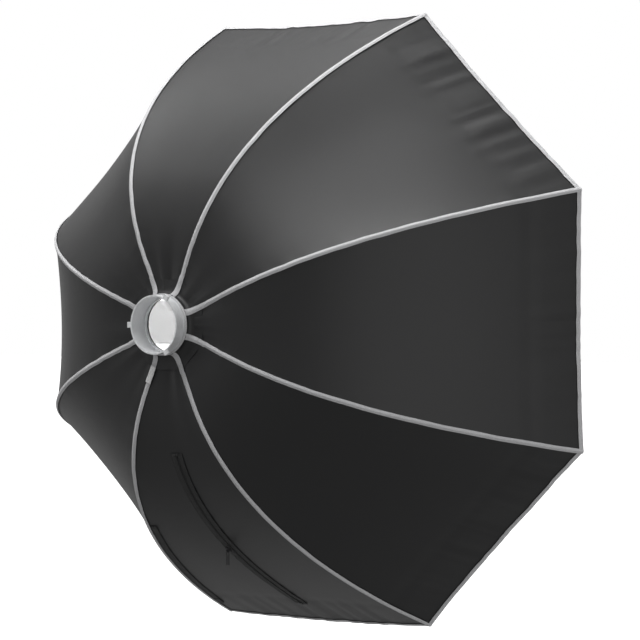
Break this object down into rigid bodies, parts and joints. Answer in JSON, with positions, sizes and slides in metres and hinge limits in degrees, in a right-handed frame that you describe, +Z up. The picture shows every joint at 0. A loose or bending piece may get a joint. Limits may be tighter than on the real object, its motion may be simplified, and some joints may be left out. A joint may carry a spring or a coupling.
{
  "type": "octagonal studio softbox",
  "caption": "Folding octagonal softbox: black lined fabric shell on curved ribs, with white diffusers at the front and a bayonet mount ring at the rear.",
  "frame": {"origin": "centre of the bayonet spigot, at its foot, where the face of the lamp stops", "axes": "+Y along the spigot towards the lamp, so the light leaves towards -Y; +Z up; a flat of the octagon on top"},
  "size_m": [1.1144, 0.5046, 1.1144],
  "materials": {
    "ring_metal": "satin",
    "black_metal": "satin",
    "steel": "brushed",
    "black_plastic": "matte",
    "black_fabric": "satin",
    "zip_fabric": "matte",
    "grey_ribbon": "matte",
    "diffuser": "matte"
  },
  "bodies": {
    "mount": {"mount_ring": "ring_metal", "hub_plate": "black_metal", "hinge_pins": "steel", "hub_screws": "steel"},
    "rib_1": {"rib_rod_1": "steel", "rib_socket_1": "black_metal", "rib_tip_1": "black_plastic", "seam_binding_1": "grey_ribbon"},
    "rib_2": {"rib_rod_2": "steel", "rib_socket_2": "black_metal", "rib_tip_2": "black_plastic", "seam_binding_2": "grey_ribbon"},
    "rib_3": {"rib_rod_3": "steel", "rib_socket_3": "black_metal", "rib_tip_3": "black_plastic", "seam_binding_3": "grey_ribbon"},
    "rib_4": {"rib_rod_4": "steel", "rib_socket_4": "black_metal", "rib_tip_4": "black_plastic", "seam_binding_4": "grey_ribbon"},
    "rib_5": {"rib_rod_5": "steel", "rib_socket_5": "black_metal", "rib_tip_5": "black_plastic", "seam_binding_5": "grey_ribbon"},
    "rib_6": {"rib_rod_6": "steel", "rib_socket_6": "black_metal", "rib_tip_6": "black_plastic", "seam_binding_6": "grey_ribbon"},
    "rib_7": {"rib_rod_7": "steel", "rib_socket_7": "black_metal", "rib_tip_7": "black_plastic", "seam_binding_7": "grey_ribbon"},
    "rib_8": {"rib_rod_8": "steel", "rib_socket_8": "black_metal", "rib_tip_8": "black_plastic", "seam_binding_8": "grey_ribbon"},
    "panel_1_a": {"panel_1_a": "black_fabric"},
    "panel_1_b": {"panel_1_b": "black_fabric"},
    "panel_2_a": {"panel_2_a": "black_fabric"},
    "panel_2_b": {"panel_2_b": "black_fabric"},
    "panel_3_a": {"panel_3_a": "black_fabric"},
    "panel_3_b": {"panel_3_b": "black_fabric"},
    "panel_4_a": {"panel_4_a": "black_fabric"},
    "panel_4_b": {"panel_4_b": "black_fabric"},
    "panel_5_a": {"panel_5_a": "black_fabric"},
    "panel_5_b": {"panel_5_b": "black_fabric"},
    "panel_6_a": {"panel_6_a": "black_fabric", "zip_tape_left": "zip_fabric"},
    "panel_6_b": {"panel_6_b": "black_fabric", "zip_tape_right": "zip_fabric"},
    "panel_7_a": {"panel_7_a": "black_fabric"},
    "panel_7_b": {"panel_7_b": "black_fabric"},
    "panel_8_a": {"panel_8_a": "black_fabric"},
    "panel_8_b": {"panel_8_b": "black_fabric"},
    "zip_slider": {"zip_slider": "black_metal"},
    "zip_pull": {"zip_pull": "black_metal"},
    "front_diffuser": {"front_diffuser": "diffuser"},
    "inner_diffuser": {"inner_diffuser": "diffuser"}
  },
  "joints": [
    {"name": "rib_1_fold", "type": "hinge", "parent": "mount", "child": "rib_1", "pos_m": [0.06098, -0.0275, 0.02526], "axis": [0.3827, 0, -0.9239], "range_deg": [0, 48]},
    {"name": "rib_2_fold", "type": "hinge", "parent": "mount", "child": "rib_2", "pos_m": [0.02526, -0.0275, 0.06098], "axis": [0.9239, 0, -0.3827], "range_deg": [0, 48]},
    {"name": "rib_3_fold", "type": "hinge", "parent": "mount", "child": "rib_3", "pos_m": [-0.02526, -0.0275, 0.06098], "axis": [0.9239, 0, 0.3827], "range_deg": [0, 48]},
    {"name": "rib_4_fold", "type": "hinge", "parent": "mount", "child": "rib_4", "pos_m": [-0.06098, -0.0275, 0.02526], "axis": [0.3827, 0, 0.9239], "range_deg": [0, 48]},
    {"name": "rib_5_fold", "type": "hinge", "parent": "mount", "child": "rib_5", "pos_m": [-0.06098, -0.0275, -0.02526], "axis": [-0.3827, 0, 0.9239], "range_deg": [0, 48]},
    {"name": "rib_6_fold", "type": "hinge", "parent": "mount", "child": "rib_6", "pos_m": [-0.02526, -0.0275, -0.06098], "axis": [-0.9239, 0, 0.3827], "range_deg": [0, 48]},
    {"name": "rib_7_fold", "type": "hinge", "parent": "mount", "child": "rib_7", "pos_m": [0.02526, -0.0275, -0.06098], "axis": [-0.9239, 0, -0.3827], "range_deg": [0, 48]},
    {"name": "rib_8_fold", "type": "hinge", "parent": "mount", "child": "rib_8", "pos_m": [0.06098, -0.0275, -0.02526], "axis": [-0.3827, 0, -0.9239], "range_deg": [0, 48]},
    {"name": "panel_1_a_fold", "type": "hinge", "parent": "rib_1", "child": "panel_1_a", "pos_m": [0.06098, -0.0275, 0.02526], "axis": [-0.0025, 0.1669, 0.986], "range_deg": [0, 25.14], "deforming": ["panel_1_a"]},
    {"name": "panel_1_b_fold", "type": "hinge", "parent": "rib_2", "child": "panel_1_b", "pos_m": [0.02526, -0.0275, 0.06098], "axis": [-0.986, -0.1669, 0.0025], "range_deg": [0, 25.14], "deforming": ["panel_1_b"]},
    {"name": "panel_2_a_fold", "type": "hinge", "parent": "rib_2", "child": "panel_2_a", "pos_m": [0.02526, -0.0275, 0.06098], "axis": [-0.699, 0.1669, 0.6954], "range_deg": [0, 25.14], "deforming": ["panel_2_a"]},
    {"name": "panel_2_b_fold", "type": "hinge", "parent": "rib_3", "child": "panel_2_b", "pos_m": [-0.02526, -0.0275, 0.06098], "axis": [-0.699, -0.1669, -0.6954], "range_deg": [0, 25.14], "deforming": ["panel_2_b"]},
    {"name": "panel_3_a_fold", "type": "hinge", "parent": "rib_3", "child": "panel_3_a", "pos_m": [-0.02526, -0.0275, 0.06098], "axis": [-0.986, 0.1669, -0.0025], "range_deg": [0, 25.14], "deforming": ["panel_3_a"]},
    {"name": "panel_3_b_fold", "type": "hinge", "parent": "rib_4", "child": "panel_3_b", "pos_m": [-0.06098, -0.0275, 0.02526], "axis": [-0.0025, -0.1669, -0.986], "range_deg": [0, 25.14], "deforming": ["panel_3_b"]},
    {"name": "panel_4_a_fold", "type": "hinge", "parent": "rib_4", "child": "panel_4_a", "pos_m": [-0.06098, -0.0275, 0.02526], "axis": [-0.6954, 0.1669, -0.699], "range_deg": [0, 25.14], "deforming": ["panel_4_a"]},
    {"name": "panel_4_b_fold", "type": "hinge", "parent": "rib_5", "child": "panel_4_b", "pos_m": [-0.06098, -0.0275, -0.02526], "axis": [0.6954, -0.1669, -0.699], "range_deg": [0, 25.14], "deforming": ["panel_4_b"]},
    {"name": "panel_5_a_fold", "type": "hinge", "parent": "rib_5", "child": "panel_5_a", "pos_m": [-0.06098, -0.0275, -0.02526], "axis": [0.0025, 0.1669, -0.986], "range_deg": [0, 25.14], "deforming": ["panel_5_a"]},
    {"name": "panel_5_b_fold", "type": "hinge", "parent": "rib_6", "child": "panel_5_b", "pos_m": [-0.02526, -0.0275, -0.06098], "axis": [0.986, -0.1669, -0.0025], "range_deg": [0, 25.14], "deforming": ["panel_5_b"]},
    {"name": "panel_6_a_fold", "type": "hinge", "parent": "rib_6", "child": "panel_6_a", "pos_m": [-0.02526, -0.0275, -0.06098], "axis": [0.699, 0.1669, -0.6954], "range_deg": [0, 25.14], "deforming": ["panel_6_a", "zip_tape_left"]},
    {"name": "panel_6_b_fold", "type": "hinge", "parent": "rib_7", "child": "panel_6_b", "pos_m": [0.02526, -0.0275, -0.06098], "axis": [0.699, -0.1669, 0.6954], "range_deg": [0, 25.14], "deforming": ["panel_6_b", "zip_tape_right"]},
    {"name": "panel_7_a_fold", "type": "hinge", "parent": "rib_7", "child": "panel_7_a", "pos_m": [0.02526, -0.0275, -0.06098], "axis": [0.986, 0.1669, 0.0025], "range_deg": [0, 25.14], "deforming": ["panel_7_a"]},
    {"name": "panel_7_b_fold", "type": "hinge", "parent": "rib_8", "child": "panel_7_b", "pos_m": [0.06098, -0.0275, -0.02526], "axis": [0.0025, -0.1669, 0.986], "range_deg": [0, 25.14], "deforming": ["panel_7_b"]},
    {"name": "panel_8_a_fold", "type": "hinge", "parent": "rib_8", "child": "panel_8_a", "pos_m": [0.06098, -0.0275, -0.02526], "axis": [0.6954, 0.1669, 0.699], "range_deg": [0, 25.14], "deforming": ["panel_8_a"]},
    {"name": "panel_8_b_fold", "type": "hinge", "parent": "rib_1", "child": "panel_8_b", "pos_m": [0.06098, -0.0275, 0.02526], "axis": [-0.6954, -0.1669, 0.699], "range_deg": [0, 25.14], "deforming": ["panel_8_b"]},
    {"name": "zip_travel", "type": "hinge", "parent": "panel_6_a", "child": "zip_slider", "pos_m": [0, -0.6539, 0.20623], "axis": [1, 0, 0], "range_deg": [-15.9, 13.5]},
    {"name": "zip_pull_swing", "type": "hinge", "parent": "zip_slider", "child": "zip_pull", "pos_m": [0, -0.18297, -0.4069], "axis": [1, 0, 0], "range_deg": [-40, 110]},
    {"name": "front_diffuser_off", "type": "slide", "parent": "mount", "child": "front_diffuser", "axis": [0, -1, 0], "range_m": [0, 0.964]},
    {"name": "inner_diffuser_off", "type": "slide", "parent": "mount", "child": "inner_diffuser", "axis": [0, -1, 0], "range_m": [0, 0.839]}
  ],
  "couplings": [
    {"joint": "rib_2_fold", "follows": "rib_1_fold", "ratio": 1},
    {"joint": "rib_3_fold", "follows": "rib_1_fold", "ratio": 1},
    {"joint": "rib_4_fold", "follows": "rib_1_fold", "ratio": 1},
    {"joint": "rib_5_fold", "follows": "rib_1_fold", "ratio": 1},
    {"joint": "rib_6_fold", "follows": "rib_1_fold", "ratio": 1},
    {"joint": "rib_7_fold", "follows": "rib_1_fold", "ratio": 1},
    {"joint": "rib_8_fold", "follows": "rib_1_fold", "ratio": 1},
    {"joint": "panel_1_a_fold", "follows": "rib_1_fold", "ratio": 0.52379},
    {"joint": "panel_1_b_fold", "follows": "rib_1_fold", "ratio": 0.52379},
    {"joint": "panel_2_a_fold", "follows": "rib_1_fold", "ratio": 0.52379},
    {"joint": "panel_2_b_fold", "follows": "rib_1_fold", "ratio": 0.52379},
    {"joint": "panel_3_a_fold", "follows": "rib_1_fold", "ratio": 0.52379},
    {"joint": "panel_3_b_fold", "follows": "rib_1_fold", "ratio": 0.52379},
    {"joint": "panel_4_a_fold", "follows": "rib_1_fold", "ratio": 0.52379},
    {"joint": "panel_4_b_fold", "follows": "rib_1_fold", "ratio": 0.52379},
    {"joint": "panel_5_a_fold", "follows": "rib_1_fold", "ratio": 0.52379},
    {"joint": "panel_5_b_fold", "follows": "rib_1_fold", "ratio": 0.52379},
    {"joint": "panel_6_a_fold", "follows": "rib_1_fold", "ratio": 0.52379},
    {"joint": "panel_6_b_fold", "follows": "rib_1_fold", "ratio": 0.52379},
    {"joint": "panel_7_a_fold", "follows": "rib_1_fold", "ratio": 0.52379},
    {"joint": "panel_7_b_fold", "follows": "rib_1_fold", "ratio": 0.52379},
    {"joint": "panel_8_a_fold", "follows": "rib_1_fold", "ratio": 0.52379},
    {"joint": "panel_8_b_fold", "follows": "rib_1_fold", "ratio": 0.52379},
    {"joint": "front_diffuser_off", "follows": "rib_1_fold", "m_per_rad": 1.15},
    {"joint": "inner_diffuser_off", "follows": "rib_1_fold", "m_per_rad": 1}
  ]
}
